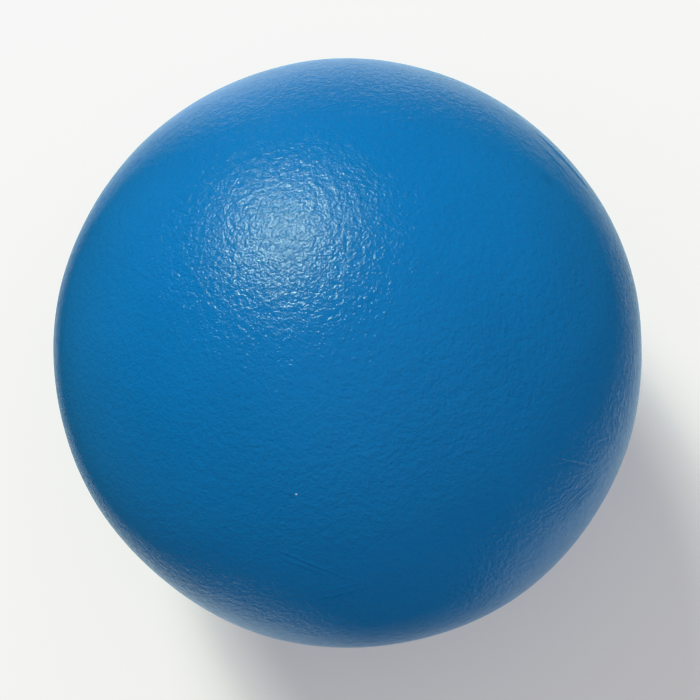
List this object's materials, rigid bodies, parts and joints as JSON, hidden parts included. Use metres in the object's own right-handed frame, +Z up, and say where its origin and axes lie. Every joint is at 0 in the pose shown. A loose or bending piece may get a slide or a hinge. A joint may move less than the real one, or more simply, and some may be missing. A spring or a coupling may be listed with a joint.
{
  "type": "playground ball",
  "caption": "Blue coated foam playground ball, 216 mm, with a finely pebbled glossy rubber-like skin over a soft foam core",
  "frame": {"origin": "the centre of the ball", "axes": "+Z is up; the ball is round, so X and Y lie anywhere level, and the ball rests on its -Z side"},
  "size_m": [0.216, 0.216, 0.216],
  "materials": {
    "foam": "open-celled soft foam, matt, cream",
    "skin_coat": "sprayed elastic coat, glossy, fine orange-peel grain, strong blue"
  },
  "bodies": {
    "root": {"foam_core": "foam", "skin": "skin_coat"}
  },
  "joints": []
}
